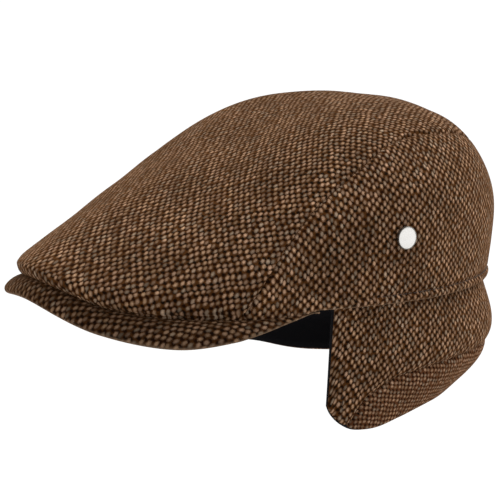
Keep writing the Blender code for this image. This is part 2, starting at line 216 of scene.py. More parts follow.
# Colours of the tan yarn with their places from 0 to 1, of the dark yarn, and of the brown between them on
# the cap and on its band. Then the painted shade that darkens the peak's copy of the tweed, the colour of
# the painted highlight along a fold and how far it covers, and the relief of a dark float and of a hair as
# shares of a tan float's.
TANS = ("#96775F", "#8E7157", "#8C6F5A", "#82705E")
TAN_PLACES = (0.15, 0.4, 0.65, 0.9)
DARKS = ("#1C0A03", "#090604")
GROUND = "#43270F"
BAND_GROUND = "#50301C"
PEAK_PAINTED_SHADE = 0.57
FOLD_HIGHLIGHT = "#85705C"
FOLD_HIGHLIGHT_SHARE = 0.45
DARK_HEIGHT = 0.45
HAIR_HEIGHT = 0.25

# Seams: how deep and how wide the cloth is drawn in beside one, and the rows of points close to an edge,
# which reach at most this share of the way to the next row. The peak's lie this much further apart.
SEAM_DEPTH = 0.0014
SEAM_WIDTH = 0.0012
EDGE_SPOTS = (0.00006, 0.00025, 0.00055, 0.0010)
SEAM_SPOTS = (0.0004, 0.0009)
CROWD_MOST = 0.9
PEAK_SPREAD = 1.2

# Edges: the width of the painted highlight along a fold, the least thickness of a rolled edge as a share
# of the sheet's, and the row of points that shows which way a cut runs inward. Then the angle from which a
# mesh's edge is sharp, and the least length that a vector is divided by.
FOLD_WIDTH = 0.0006
EDGE_LEAST = 0.04
INWARD_ROW = 8
SHARP_ANGLE = 50.0
TINY = 1e-12

# Hem of the crown: the height of the turned-up cloth, which stands out as a roll, the groove that stitches
# draw in over it, and the angles over which both begin.
HEM_ROLL = 0.0042
ROLL_RELIEF = 0.0006
STITCH_DEPTH = 0.0008
STITCH_SPREAD = 0.0008
HEM_FROM = (66.0, 80.0)

# Peak: how far the crown's front edge is pressed into it, and the angles over which that fades. Then the
# angles over which the peak grows thinner, and how much of its thickness is left at its ends.
PEAK_PRESS = 0.0024
PRESS_FADES = (50.0, 66.0)
PEAK_THINS = (38.0, 58.0)
PEAK_TIP_SHARE = 0.25

# Flap: how far its front edges are set back below and lean forward on the way down, and the angle over
# which that fades. The far ear's lower edge is drawn up a little, and sags behind that. Then the angles
# over which the band's tip grows, the least width of the band, and how far the lining stands out past the
# flap's edges.
FLAP_SETBACK = 0.0005
FLAP_SLANT = 0.0034
SLANT_ANGLE = 30.0
EAR_TUCK = 0.0026
TUCK_ANGLE = 107.0
TUCK_SPREAD = 13.0
EAR_SAG = 0.0022
SAG_ANGLE = 138.0
SAG_SPREAD = 20.0
BAND_TIP = (73.0, 79.0)
BAND_LEAST = 0.0012
LINING_PROUD = 0.0007

# Stitches: their thread, how far its ends dive, in radii of the thread, and the points along and round
# each. Then where the hem's row starts, and how far behind the flap's front edges its rows lie, how deep,
# and between which shares of the way down. Then at how many points each row is read.
STITCH_PITCH = 0.0032
STITCH_LENGTH = 0.0024
THREAD_RADIUS = 0.00022
THREAD_DIVE = 1.8
THREAD_STEPS = 7
THREAD_SIDES = 6
HEM_STITCH_START = 74.0
FLAP_STITCHES = 0.0065
FLAP_STITCH_DEPTH = 0.00056
FLAP_STITCH_RANGE = (0.2, 0.97)
HEM_SAMPLES = 1200
FLAP_SAMPLES = 300

# Badge: how far its face is domed, how far the setting lies under the face, and the points of its curves.
BADGE_DOME = 0.0003
BADGE_UNDERLAP = 0.00005
DOME_STEPS = 8
RIM_STEPS = 9
ROUND_STEPS = 64

# Camera, in degrees, metres and millimetres of lens and sensor.
CAMERA_AZIMUTH = 58.0
CAMERA_ELEVATION = 9.5
CAMERA_DISTANCE = 1.2
CAMERA_TARGET = (0.0, -0.0240, 0.0165)
CAMERA_LENS = 172.8
CAMERA_SENSOR = 36.0

# Light: the sky's strength, how wide the two lights are in degrees, and the direction and power of each.
SKY_STRENGTH = 0.68
LIGHT_WIDTH = 45.0
BACK_LIGHT = ((0.03, 0.90, 1.0), 2.6)
OVERHEAD_LIGHT = ((0.1, -0.1, 1.0), 0.6)
FLOOR_DROP = 0.25
FLOOR_SIZE = 40.0


# Shapes of the model.


def smooth(x, rows_x, rows_y):
    """Cubic curve through the rows that never passes beyond them.

    Each row's slope is the harmonic mean of the slopes on its two sides, or level at a turn and at an end.
    """
    steps = np.diff(rows_x)
    rises = np.diff(rows_y) / steps
    slopes = np.zeros(len(rows_x))
    both = rises[:-1] * rises[1:]
    slopes[1:-1] = np.where(both > 0, 2 * both / np.where(both > 0, rises[:-1] + rises[1:], 1), 0)
    row = np.clip(np.searchsorted(rows_x, x, side="right") - 1, 0, len(steps) - 1)
    t = np.clip((x - rows_x[row]) / steps[row], 0, 1)
    start = rows_y[row] * (2 * t**3 - 3 * t**2 + 1) + slopes[row] * steps[row] * (t**3 - 2 * t**2 + t)
    end = rows_y[row + 1] * (3 * t**2 - 2 * t**3) + slopes[row + 1] * steps[row] * (t**3 - t**2)
    return start + end


def read(table, name, place):
    """The named column of a table, read at each place along its first column."""
    rows = np.array(table[1:], dtype=float)
    return smooth(np.asarray(place, dtype=float), rows[:, 0], rows[:, table[0].index(name)])


def read_all(table, place):
    """Each column of a table but the first, read at each place along that."""
    return [read(table, name, place) for name in table[0][1:]]


def fade(x, start, end):
    """0 before start, 1 after end, and 3t^2 - 2t^3 of the way between."""
    t = np.clip((x - start) / (end - start), 0, 1)
    return t * t * (3 - 2 * t)


def from_front(angle):
    """Angle from the front on either side, from 0 to 180 degrees."""
    return np.abs((angle + 180) % 360 - 180)


def head_radius(angle):
    """Distance from the middle of the head to its oval at this angle."""
    across = np.sin(np.radians(angle)) / (HEAD_WIDTH / 2)
    along = np.cos(np.radians(angle)) / (HEAD_LENGTH / 2)
    return 1 / np.hypot(across, along)


def hump(x, middle, width):
    """1 in the middle, dying away to both sides with exp(-d^2), where d is the distance in widths."""
    return np.exp(-(((x - middle) / width) ** 2))


def angle_of(points):
    """Angle of each point round the head."""
    return np.degrees(np.arctan2(points[..., 0], -points[..., 1]))


def place_at(angle, radius, height):
    """Points at these angles, distances from the middle and heights."""
    turn = np.radians(angle)
    return np.stack([radius * np.sin(turn), -radius * np.cos(turn), height], axis=-1)


def bezier(a, b, c, d, t):
    """Cubic Bezier curve from a to d, drawn towards b and c."""
    return (1 - t) ** 3 * a + 3 * (1 - t) ** 2 * t * b + 3 * (1 - t) * t**2 * c + t**3 * d


FLAP_START = PEAK_END + np.degrees(PEAK_TO_FLAP / head_radius(PEAK_END))


def peak_height(angle, past):
    """Height of the peak's upper face, by angle and distance past the hem's line at the sides.

    The face leaves the head level and bends to its edge with the square of the distance, over a bow that
    falls steeply to the edge. The twist lowers the left of the edge and lifts the right, and dies away
    towards the peak's ends.
    """
    along = from_front(angle) / PEAK_END
    out, rise, bow = read_all(PEAK_SECTIONS, along)
    twist = -PEAK_TWIST * np.sin(2 * np.radians(angle)) * np.clip((1 - along) / TWIST_FADE_SHARE, 0, 1)
    share = np.clip(past / np.maximum(out * PEAK_REACH, GAP), 0, 1)
    arch = (share**2 - share**6) / BOW_MOST
    return np.where(along < 1, (rise * PEAK_REACH + twist) * share**2 + bow * PEAK_REACH * arch, 0)


def peak_face(angle, share):
    """Upper face of the peak, from its edge at share 0 to the head at share 1."""
    inner = head_radius(angle) + PEAK_INSET
    out = read(PEAK_SECTIONS, "out", from_front(angle) / PEAK_END) * PEAK_REACH
    outer = head_radius(angle) + HEM_SEAT + out
    radius = outer + share * (inner - outer)
    return place_at(angle, radius, peak_height(angle, radius - head_radius(angle) - HEM_SEAT))


def crown_profile(angle, share):
    """Points of the crown's profiles, by angle and share of the way from the hem to the top.

    Each profile is two Bezier curves, from the hem to the widest point and from there to the top. They are
    set back with height, so that the top lies behind the middle of the head. The nose is a hump about
    NOSE_SHARE. The front of the hem is pressed down into the peak.
    """
    angle, share = np.broadcast_arrays(angle, share)
    front = from_front(angle)
    reach, swell, waist, lean, shoulder, roof, nose = read_all(CROWN_SECTIONS, front)
    past = reach * PEAK_REACH
    hem = head_radius(angle) + HEM_SEAT + past
    low = peak_height(angle, past) + HEM_PLAY
    press = PEAK_PRESS * (1 - fade(front, *PRESS_FADES))
    wide = hem + swell * CROWN_SWELL
    mid = low + waist * (CROWN_HEIGHT - low)
    lower = np.clip(share / WIDEST_SHARE, 0, 1)
    upper = np.clip((share - WIDEST_SHARE) / (1 - WIDEST_SHARE), 0, 1)
    below = share < WIDEST_SHARE
    radius = np.where(
        below,
        bezier(hem, hem + LEAN_OUT * lean * (wide - hem), wide, wide, lower),
        bezier(wide, wide, roof * wide, 0 * wide, upper),
    )
    top = 0 * mid + CROWN_HEIGHT
    height = np.where(
        below,
        bezier(low - press, low + (STAND_UP - LEAN_DOWN * lean) * (mid - low), (low + mid) / 2, mid, lower),
        bezier(mid, mid + shoulder * (CROWN_HEIGHT - mid), top, top, upper),
    )
    points = place_at(angle, radius, height)
    points[..., 1] += CROWN_SETBACK * np.clip(height / CROWN_HEIGHT, 0, 1) ** SETBACK_POWER
    points[..., 2] += NOSE_RISE * nose * hump(share, NOSE_SHARE, NOSE_SPREAD_SHARE)
    return points


def chart(angle, share):
    """Flat map of the crown: the top is the middle of a disc, the hem its rim, the front at +1."""
    turn = np.radians(angle)
    return np.stack([(1 - share) * np.cos(turn), (1 - share) * np.sin(turn)], axis=-1)


def charted(flat):
    """Angle and share of the way to the top of each place on the flat map."""
    return np.degrees(np.arctan2(flat[..., 1], flat[..., 0])), 1 - np.hypot(flat[..., 0], flat[..., 1])


def crown_face(angle, share):
    """Outer face of the crown, by angle and share of the way from the hem to the top.

    The profiles meet at the top, where each point moves towards the mean of eight points round it on the
    chart, TOP_EASE_SHARE away. It moves all the way at the top and not at all TOP_ROUND_SHARE from it.
    """
    angle, share = np.broadcast_arrays(angle, share)
    points = profile = crown_profile(angle, share)
    flat = chart(angle, share)
    t = np.clip(1 - (1 - share) / TOP_ROUND_SHARE, 0, 1)[..., None]
    for turn in range(0, 360, 45):
        beside = crown_profile(*charted(flat + chart(turn, 1 - TOP_EASE_SHARE)))
        points = points + (beside - profile) * t**2 * (3 - 2 * t) / 8
    return points


def flap_along(angle):
    """How far an angle lies on the way from the flap's front edge, 0, to the middle of the back, 1."""
    return (from_front(angle) - FLAP_START) / (180 - FLAP_START)


def band_share(angle):
    """Where the band is sewn to the flap, as a share of the way down, with its tip drawn out to a point."""
    share = read(FLAP_SECTIONS, "band", flap_along(angle))
    return 1 - (1 - share) * fade(from_front(angle), *BAND_TIP)


def flap_face(angle, share):
    """Outer face of the flap and its band, by angle and share of the way down.

    The cloth hangs straight from inside the hem, bulges over the nape, dips at the band's seam and curls
    in at the bottom. The front corners are quarter rounds, and the right ear is drawn out from the head.
    """
    angle, share = np.broadcast_arrays(angle, share)
    front = from_front(angle)
    along = flap_along(angle)
    corner = np.clip((front - FLAP_START) / CORNER_ANGLE, 0, 1)
    rounding = 1 - CORNER_SHARE * (1 - np.sqrt(1 - (1 - corner) ** 2))
    drop, belly, curl, band = read_all(FLAP_SECTIONS, along)
    drop = drop * rounding * FLAP_DROP
    height = FLAP_TUCK - share * (drop + FLAP_TUCK)
    hang = np.clip(-height / drop, 0, 1)
    belly = belly * FLAP_BELLY * np.sin(np.pi * hang) ** BELLY_POWER
    curl = curl * FLAP_CURL * hang**CURL_POWER
    dip = BAND_DIP * hump(share, band, DIP_WIDTH_SHARE) * np.clip((1 - band) / DIP_FADE_SHARE, 0, 1)
    radius = head_radius(angle) + FLAP_SEAT + belly - curl - dip
    splay = np.where((angle + 180) % 360 < 180, hump(front, EAR_ANGLE, EAR_SPREAD_ANGLE), 0) * EAR_SPLAY
    return place_at(angle, radius + splay * hang**SPLAY_POWER, height + EAR_LIFT_SHARE * splay * hang**2)


def worn_flap(angle, share):
    """The flap as worn: its front edges lean, and the right ear's lower edge is drawn up, then sags."""
    angle, share = np.broadcast_arrays(angle, share)
    side = np.where((angle + 180) % 360 < 180, -1, 1)
    front = from_front(angle)
    slant = FLAP_SETBACK + FLAP_SLANT * (1 - share)
    slant = slant * (1 - fade(front, FLAP_START, FLAP_START + SLANT_ANGLE))
    points = flap_face(angle + side * np.degrees(slant / head_radius(FLAP_START)), share)
    lift = EAR_TUCK * hump(front, TUCK_ANGLE, TUCK_SPREAD) - EAR_SAG * hump(front, SAG_ANGLE, SAG_SPREAD)
    points[..., 2] += np.where(side < 0, share**2, 0) * lift
    return points


def seam_share(angle):
    """Place of the top panel's seam on the way from the hem to the top."""
    return read(SEAM_SECTIONS, "share", (from_front(angle) - SEAM_START) / (180 - SEAM_START))


def climb_angles(finer):
    """Angles along the seam from its front end to the turn, close together where it climbs fastest."""
    along = np.linspace(0, 1, CLIMB_CELLS * finer + 1) ** SEAM_CROWDING
    return SEAM_START + (SEAM_TURN - SEAM_START) * along


def top_panel(finer):
    """Grid of the top panel: a Coons patch on the chart between the front hem, the two seams and the back.

    It is the two straight blends between opposite sides, added, less the blend of the corners.
    """
    climb = climb_angles(finer)
    across = np.linspace(-1, 1, 2 * TURN_CELLS * finer + 1)
    front = chart(SEAM_START * across, 0 * across)
    turn = 180 - (180 - SEAM_TURN) * across
    back = chart(turn, seam_share(turn))
    rise = chart(SEAM_START + 0 * climb[:finer], SEAM_TIP_SHARE * np.arange(finer) / finer)
    left = np.concatenate([rise, chart(climb, seam_share(climb))])
    right = left * [1, -1]
    a = ((across + 1) / 2)[:, None, None]
    b = np.linspace(0, 1, len(left))[None, :, None]
    ends = (1 - b) * front[:, None] + b * back[:, None]
    edges = (1 - a) * right[None] + a * left[None]
    corner_mean = (1 - a) * ((1 - b) * right[0] + b * right[-1]) + a * ((1 - b) * left[0] + b * left[-1])
    return crown_face(*charted(ends + edges - corner_mean))


def side_panel(finer, side):
    """Grid of a side panel, from the hem up to the seam. Side is 1 for the left and -1 for the right."""
    turn = np.linspace(SEAM_TURN, 180, TURN_CELLS * finer + 1)[1:]
    angle = np.sort(side * np.concatenate([climb_angles(finer), turn]))[:, None]
    return crown_face(angle, np.linspace(0, 1, SIDE_ROWS * finer + 1)[None] * seam_share(angle))


def peak_cover(finer):
    """Grid of the peak's upper face, from its edge to the head."""
    columns, rows = PEAK_CELLS
    angle = PEAK_END * np.linspace(-1, 1, columns * finer + 1)[:, None]
    return peak_face(angle, np.linspace(0, 1, rows * finer + 1)[None] ** PEAK_CROWDING)


def flap_angles(finer):
    """Angles round the back from the left front edge to the right one, closer together at the ends."""
    u = np.linspace(0, 1, FLAP_COLUMNS * finer + 1)
    return FLAP_START + (360 - 2 * FLAP_START) * (u - 0.5 * np.sin(2 * np.pi * u) / (2 * np.pi))


def whole_flap(finer):
    """Grid of the flap with its band, from its lower edge up to the tucked edge."""
    return flap_face(flap_angles(finer)[:, None], np.linspace(1, 0, FLAP_ROWS * finer + 1)[None])


# Flat cuts.


def flat_cut(points):
    """Flat pattern of a sheet: the plane grid that best keeps the lengths of its sides and diagonals.

    It starts with each row unrolled about the middle column. Each pass gives every side its true length in
    the direction that it has now, and moves the points to fit those sides best by least squares, which is
    one matrix for all the passes.
    """
    columns, rows = points.shape[:2]
    index = np.arange(columns * rows).reshape(columns, rows)
    pairs = [(index[:-1], index[1:]), (index[:, :-1], index[:, 1:])]
    pairs += [(index[:-1, :-1], index[1:, 1:]), (index[1:, :-1], index[:-1, 1:])]
    start, end = (np.concatenate([pair[side].ravel() for pair in pairs]) for side in (0, 1))
    world = points.reshape(-1, 3)
    length = np.linalg.norm(world[end] - world[start], axis=-1)
    weight = 1 / length**2
    spread = np.zeros((index.size, index.size))
    np.add.at(spread, (np.r_[start, end], np.r_[start, end]), np.r_[weight, weight])
    np.add.at(spread, (np.r_[start, end], np.r_[end, start]), -np.r_[weight, weight])
    spread[0, 0] += weight.mean()
    spread = np.linalg.inv(spread)
    middle = columns // 2
    run = np.pad(np.cumsum(np.linalg.norm(np.diff(points, axis=0), axis=-1), axis=0), ((1, 0), (0, 0)))
    up = np.concatenate([[0], np.cumsum(np.linalg.norm(np.diff(points[middle], axis=0), axis=-1))])
    flat = np.stack([run - run[middle], np.broadcast_to(up, run.shape)], axis=-1).reshape(-1, 2)
    for _ in range(FLAT_PASSES):
        step = flat[end] - flat[start]
        want = step * (weight * length / np.linalg.norm(step, axis=-1))[:, None]
        pull = [np.bincount(end, w, index.size) - np.bincount(start, w, index.size) for w in want.T]
        flat = spread @ np.stack(pull, axis=-1)
    return flat.reshape(columns, rows, 2)


def finer_rows(values, finer):
    """A coarse grid read this many times finer along its first axis, on Catmull-Rom curves."""
    count = len(values) - 1
    place = np.linspace(0, count, count * finer + 1)
    row = np.minimum(place.astype(int), count - 1)
    t = (place - row)[:, None, None]
    padded = np.concatenate([[2 * values[0] - values[1]], values, [2 * values[-1] - values[-2]]])
    a, b, c, d = (padded[row + k] for k in range(4))
    return 0.5 * (2 * b + (c - a) * t + (2 * a - 5 * b + 4 * c - d) * t**2 + (3 * b - a - 3 * c + d) * t**3)


def with_cut(shape, finer, ends, turn, coarser=(1.0, 1.0)):
    """A shape's grid, this many times finer, with its flat pattern beside it, as x, y, z, u, v.

    The pattern is laid so that the line between the two named grid points runs along u, and is then turned
    by this many degrees. The yarn is this many times coarser at the first point and at the second. In
    between, the pattern as complex numbers z is mapped to s z + (e - s) z^2 / 2, where s and e are the
    scales at the ends and z is 1 at the second point. That keeps every angle of the weave.
    """
    flat = flat_cut(shape(1)) @ np.array([1, 1j])
    a, b = (flat[place] for place in ends)
    start, end = 1 / coarser[0], 1 / coarser[1]
    along = (flat - a) / (b - a)
    flat = (start * along + (end - start) * along**2 / 2) * abs(b - a) * np.exp(1j * np.radians(turn))
    flat = np.stack([flat.real, flat.imag], axis=-1)
    flat = finer_rows(finer_rows(flat, finer).swapaxes(0, 1), finer).swapaxes(0, 1)
    return np.concatenate([shape(finer), flat], axis=-1)


# Sheets of cloth.


def unit(vectors):
    """The vectors at length 1."""
    return vectors / np.maximum(np.linalg.norm(vectors, axis=-1, keepdims=True), TINY)


def turned(grid, edge, back=False):
    """The grid with the named edge as its first row, or such a grid turned back.

    The edges are start and end, the first and last column, and low and high, the first and last row.
    """
    flip, swap = edge in ("end", "high"), edge in ("start", "end")
    if back and flip:
        grid = grid[:, ::-1]
    if swap:
        grid = np.swapaxes(grid, 0, 1)
    if not back and flip:
        grid = grid[:, ::-1]
    return grid


def crowd(grid, edges, spots):
    """Adds rows close to these edges, at these distances on the straight way to the next row."""
    spots = np.array(spots)[None, :, None]
    for edge in edges:
        grid = turned(grid, edge)
        step = grid[:, 1:2] - grid[:, :1]
        length = np.linalg.norm(step[..., :3], axis=-1, keepdims=True)
        share = spots / np.maximum(length, spots.max() / CROWD_MOST)
        grid = np.concatenate([grid[:, :1], grid[:, :1] + step * share, grid[:, 1:]], axis=1)
        grid = turned(grid, edge, back=True)
    return grid


def distance_from(grid, edge):
    """Distance of each point from the named edge, added up along the grid."""
    steps = np.linalg.norm(np.diff(turned(grid, edge)[..., :3], axis=1), axis=-1)
    return turned(np.pad(np.cumsum(steps, axis=1), ((0, 0), (1, 0))), edge, back=True)


def outward(points):
    """Unit normals of a grid: the cross product of its two directions."""
    return unit(np.cross(np.gradient(points, axis=0), np.gradient(points, axis=1)))


def wrapped(grid, edges, thickness):
    """The grid with its flat cut drawn out at rolled edges, where the cloth runs over a quarter round.

    At a distance d from the edge the round is half * arccos(1 - d / half) long, for half the thickness.
    """
    for edge in edges:
        away = turned(distance_from(grid, edge), edge)
        half = turned(thickness / 2 + 0 * grid[..., 0], edge)
        grid = turned(grid, edge).copy()
        run = half * (np.pi / 2 - np.arccos(1 - np.clip(away / half, 0, 1)))
        extra = run - np.maximum(half - away, 0)
        grid[..., 3:] += unit(grid[:, :1, 3:] - grid[:, [INWARD_ROW], 3:]) * extra[..., None]
        grid = turned(grid, edge, back=True)
    return grid


def soft_waves(points):
    """Slight unevenness of worn cloth: five sine waves through space, 27 to 49 mm long.

    Each row holds the wave in radians per metre along x, y and z, its shift in radians and its height.
    """
    waves = (
        ((105, 40, 60), 0.3, 0.00016),
        ((-45, 130, 35), 1.9, 0.00014),
        ((70, -60, 150), 4.1, 0.00012),
        ((150, 95, -80), 2.6, 0.00010),
        ((-120, 70, 190), 5.2, 0.00008),
    )
    return sum(size * np.sin(points @ np.array(wave, dtype=float) + shift) for wave, shift, size in waves)


def two_faces(grid, thickness, rolled=(), sewn=(), relief=0.0, depth=0.0):
    """Outer and inner face of a sheet that is this thick inwards from the grid, and how close a fold is.

    At a rolled edge both faces close in on the middle of the sheet in a half round, the root of
    1 - (1 - distance / half)^2. At a sewn edge the outer face dips.
    """
    points = grid[..., :3]
    normal = outward(points)
    fold = np.zeros(points.shape[:2])
    half, shape = thickness / 2 + fold, 1 + fold
    for edge in rolled:
        away = distance_from(grid, edge)
        shape *= np.maximum(np.sqrt(1 - (1 - np.clip(away / half, 0, 1)) ** 2), EDGE_LEAST)
        # The painted highlight follows how close a rolled edge is.
        fold = np.maximum(fold, hump(away, 0, FOLD_WIDTH))
    dip = sum(SEAM_DEPTH * hump(distance_from(grid, edge), 0, SEAM_WIDTH) for edge in sewn)
    middle = points - normal * (depth + half)[..., None]
    outer = middle + normal * (shape * (half + relief) - dip)[..., None]
    inner = middle - normal * (shape * half)[..., None]
    return outer, inner, fold


def quads_between(line, beside):
    """Quads between lines of point numbers and the lines beside them, which run along the second axis."""
    return np.stack([line[:, :-1], line[:, 1:], beside[:, 1:], beside[:, :-1]], axis=-1).reshape(-1, 4)


def added(name, data):
    """New object with this data, in the scene."""
    made = bpy.data.objects.new(name, data)
    bpy.context.scene.collection.objects.link(made)
    return made


def mesh_piece(name, points, faces, material, nodes=(), attributes=()):
    """Piece of these points and arrays of faces, with its finish, riding on the body."""
    mesh = bpy.data.meshes.new(name)
    corners = np.concatenate([face.ravel() for face in faces])
    sizes = np.concatenate([np.full(len(face), face.shape[1]) for face in faces])
    mesh.vertices.add(len(points))
    mesh.vertices.foreach_set("co", np.asarray(points, dtype=np.float32).ravel())
    mesh.loops.add(len(corners))
    mesh.loops.foreach_set("vertex_index", corners.astype(np.int32))
    mesh.polygons.add(len(sizes))
    mesh.polygons.foreach_set("loop_start", (np.cumsum(sizes) - sizes).astype(np.int32))
    mesh.update(calc_edges=True)
    for label, kind, values in attributes:
        values = np.asarray(values, dtype=np.float32)
        field = "vector" if values.ndim > 1 else "value"
        mesh.attributes.new(label, kind, "POINT").data.foreach_set(field, values.ravel())
    mesh.shade_smooth()
    mesh.set_sharp_from_angle(angle=np.radians(SHARP_ANGLE))
    mesh.materials.append(material)
    piece = added(name, mesh)
    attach(piece, "root")
    if nodes:
        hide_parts(*nodes)


def cloth_piece(name, grid, material, slot, *shaping, painted_highlight=True, **more_shaping):
    """Closed sheet in a node's place: two faces and the rim between them, with a flat cut and folds."""
    outer, inner, fold = two_faces(grid, *shaping, **more_shaping)
    columns, rows = outer.shape[:2]
    index = np.arange(columns * rows).reshape(columns, rows)
    quads = quads_between(index[:, :-1].T, index[:, 1:].T)
    rim = np.concatenate([index[:, 0], index[-1, 1:], index[-2::-1, -1], index[0, -2:0:-1]])
    ahead = np.roll(rim, -1)
    under = columns * rows
    sides = np.stack([ahead, rim, rim + under, ahead + under], axis=-1)
    cut = np.pad(grid[..., 3:5].reshape(-1, 2), ((0, 0), (0, 1)))
    points = np.concatenate([outer.reshape(-1, 3), inner.reshape(-1, 3)])
    # The fold attribute carries the painted highlight along rolled edges; pieces without it get zeros.
    cut, fold = np.tile(cut, (2, 1)), np.tile(painted_highlight * fold.ravel(), 2)
    attributes = (("cut", "FLOAT_VECTOR", cut), ("fold", "FLOAT", fold))
    faces = (quads, quads[:, ::-1] + under, sides)
    mesh_piece(f"{name}_cloth", points, faces, material, [name], attributes)


# Materials.


def linear(code):
    """Linear colour of an sRGB hex code, with alpha 1."""
    value = np.array([int(code[k : k + 2], 16) for k in (1, 3, 5)]) / 255
    value = np.where(value <= 0.04045, value / 12.92, ((value + 0.055) / 1.055) ** 2.4)
    return (*value.tolist(), 1.0)


def node(tree, kind, inputs=None, **settings):
    """Adds a node: settings are its own attributes, and each input is a value or another node's output."""
    made = tree.nodes.new(kind)
    for name, value in settings.items():
        setattr(made, name, value)
    for name, value in (inputs or {}).items():
        if isinstance(value, bpy.types.NodeSocket):
            tree.links.new(value, made.inputs[name])
        else:
            made.inputs[name].default_value = value
    return made


def finish(name, **sockets):
    """New material with these values on its shader, its node tree and the shader."""
    material = bpy.data.materials.new(name)
    material.use_nodes = True
    shader = material.node_tree.nodes["Principled BSDF"]
    for socket, value in sockets.items():
        shader.inputs[socket.replace("_", " ")].default_value = value
    return material, material.node_tree, shader


def mixed(tree, factor, low, high):
    """Colour between two, which are the Mix node's seventh and eighth inputs and its third output."""
    return node(tree, "ShaderNodeMix", {"Factor": factor, 6: low, 7: high}, data_type="RGBA").outputs[2]


def maths(tree, operation, *values):
    """Result of an operation on numbers."""
    return node(tree, "ShaderNodeMath", dict(enumerate(values)), operation=operation).outputs[0]


def vector_maths(tree, operation, *values):
    """Outputs of an operation on vectors."""
    return node(tree, "ShaderNodeVectorMath", dict(enumerate(values)), operation=operation).outputs


def scaled(tree, vector, factor):
    """The vector or colour times a number."""
    return node(tree, "ShaderNodeVectorMath", {0: vector, "Scale": factor}, operation="SCALE").outputs[0]


def noise(tree, vector, scale, detail, dimensions="2D"):
    """Outputs of noise at these places, with this scale and detail."""
    inputs = {"Vector": vector, "Scale": scale, "Detail": detail}
    return node(tree, "ShaderNodeTexNoise", inputs, noise_dimensions=dimensions).outputs


def ranged(tree, value, start, end, low=0.0, high=1.0, **settings):
    """The value, with its range from start to end mapped to that from low to high, and kept inside."""
    inputs = {"Value": value, "From Min": start, "From Max": end, "To Min": low, "To Max": high}
    return node(tree, "ShaderNodeMapRange", inputs, **settings).outputs["Result"]


